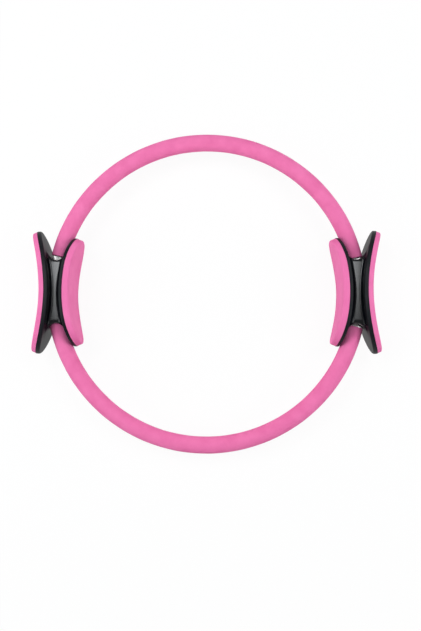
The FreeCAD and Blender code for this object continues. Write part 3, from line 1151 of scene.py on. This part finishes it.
def laid_pad(name, side, axis_x, seat_radius, thickness, length, flat):
    """Pad on one side's flange, whose curve has this radius about an upright axis at axis_x."""
    length -= 2 * pad_inset
    points, outward = oval(length, flat, grip_width - 2 * pad_inset, **pad_points)
    bulge = -1 if axis_x else 1
    places, cut = [], []
    for ring, height, cut_share in pad_rings(points, outward, thickness, length):
        for (y, z), above in zip(ring, np.broadcast_to(height, len(ring))):
            ripple = noise.noise(Vector((y, z, axis_x)) / ripple_size) * pad_ripple
            radius = seat_radius - above - ripple * min(1, above / thickness)
            turn = math.asin(y / seat_radius)
            x = axis_x + bulge * radius * math.cos(turn)
            places.append((signs[side] * x, signs[side] * radius * math.sin(turn), z + ring_height))
            cut.append(cut_share)
    pad = meshed(name, np.array(places), len(points), pad_foam)
    pad.data.attributes.new("cut_foam", "FLOAT", "POINT").data.foreach_set("value", cut)
    return finished(pad)


for side in ("left", "right"):
    for flange, shape in pads.items():
        length, flat = flange_sizes[flange]
        pad = laid_pad(f"{side}_{flange}_pad_foam", side, length=length, flat=flat, **shape)
        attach(pad, side + "_grip")
        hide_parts(f"{side}_{flange}_pad")

# %% [markdown]
# ## Studio
# The floor is white: to the camera and to reflections it glows, so black plastic can mirror it, and a
# small share of it stays plain diffuse, which keeps the ring's soft shadow. The sky is dark overhead,
# where the camera stands, so the rims stay black. Two lamps at the sides light the foam, out of sight of
# the rims, and two more hang level on either side of the camera: their mirror images are the grey bands
# on the waists.

# %% Floor and sky
floor_size = 12.0
floor_drop = 0.0004
floor_glow = 0.93


def white_where_seen(tree):
    """One for rays of the camera, of reflections and of glass, and nought for light that spreads."""
    path = add(tree, "ShaderNodeLightPath").outputs
    seen = calc(tree, "MAXIMUM", path["Is Camera Ray"], path["Is Glossy Ray"])
    return calc(tree, "MAXIMUM", seen, path["Is Transmission Ray"])


floor_mesh = bpy.data.meshes.new("floor")
reach = floor_size / 2
corners = [(-reach, -reach), (reach, -reach), (reach, reach), (-reach, reach)]
floor_mesh.from_pydata([(x, y, cad_low.z - floor_drop) for x, y in corners], [], [(0, 1, 2, 3)])
floor = placed("floor", floor_mesh)

floor_white, tree, shader = new_material("floor_white")
feed(tree, shader, {"Base Color": (0.93, 0.93, 0.93, 1), "Roughness": 0.9, "Specular IOR Level": 0.0})
glow = made(tree, "ShaderNodeEmission", {"Color": (1, 1, 1, 1), "Strength": 1.0})
share = calc(tree, "MULTIPLY", white_where_seen(tree), floor_glow)
mixed = made(tree, "ShaderNodeMixShader", (share, shader.outputs[0], glow))
feed(tree, tree.nodes["Material Output"], {"Surface": mixed})
floor_mesh.materials.append(floor_white)

side_fill = 0.90
top_fill = 0.22
top_starts = 0.50
world = bpy.data.worlds.new("studio")
world.use_nodes = True
bpy.context.scene.world = world
tree = world.node_tree
direction = add(tree, "ShaderNodeTexCoord").outputs["Generated"]
fill = between(tree, axes_of(tree, direction)["Z"], 0, top_starts, side_fill, top_fill)
feed(tree, tree.nodes["Background"], {"Color": (1, 1, 1, 1), "Strength": fill})
print("floor and sky: glow", floor_glow, "fill", side_fill, "to", top_fill)

# %% Lamps
lamp_tint = (0.95, 0.98, 1.0)
lamps = {
    "left_lamp": dict(place=(-1.05, -0.20, 0.85), sides=(0.7, 0.7), watts=5.2, aimed=True),
    "right_lamp": dict(place=(1.05, -0.20, 0.85), sides=(0.7, 0.7), watts=4.8, aimed=True),
    "left_band": dict(place=(-0.66, 0.41, 1.50), sides=(0.66, 0.62), watts=10.2, aimed=False),
    "right_band": dict(place=(0.62, 0.41, 1.50), sides=(0.66, 0.62), watts=7.2, aimed=False),
}


def hang_lamp(name, place, sides, watts, aimed):
    """Flat lamp that shines straight down, or at the ring where it is aimed. The camera doesn't see it."""
    lamp_data = bpy.data.lights.new(name, "AREA")
    lamp_data.shape = "RECTANGLE"
    lamp_data.size, lamp_data.size_y = sides
    lamp_data.energy = watts
    lamp_data.color = lamp_tint
    lamp = placed(name, lamp_data)
    lamp.location = place
    if aimed:
        lamp.rotation_euler = (ring_centre - lamp.location).to_track_quat("-Z", "Y").to_euler()
    lamp.visible_camera = False


for name, lamp in lamps.items():
    hang_lamp(name, **lamp)
bpy.context.scene.view_settings.view_transform = "Standard"
print("lamps:", {name: lamp["watts"] for name, lamp in lamps.items()}, "W")
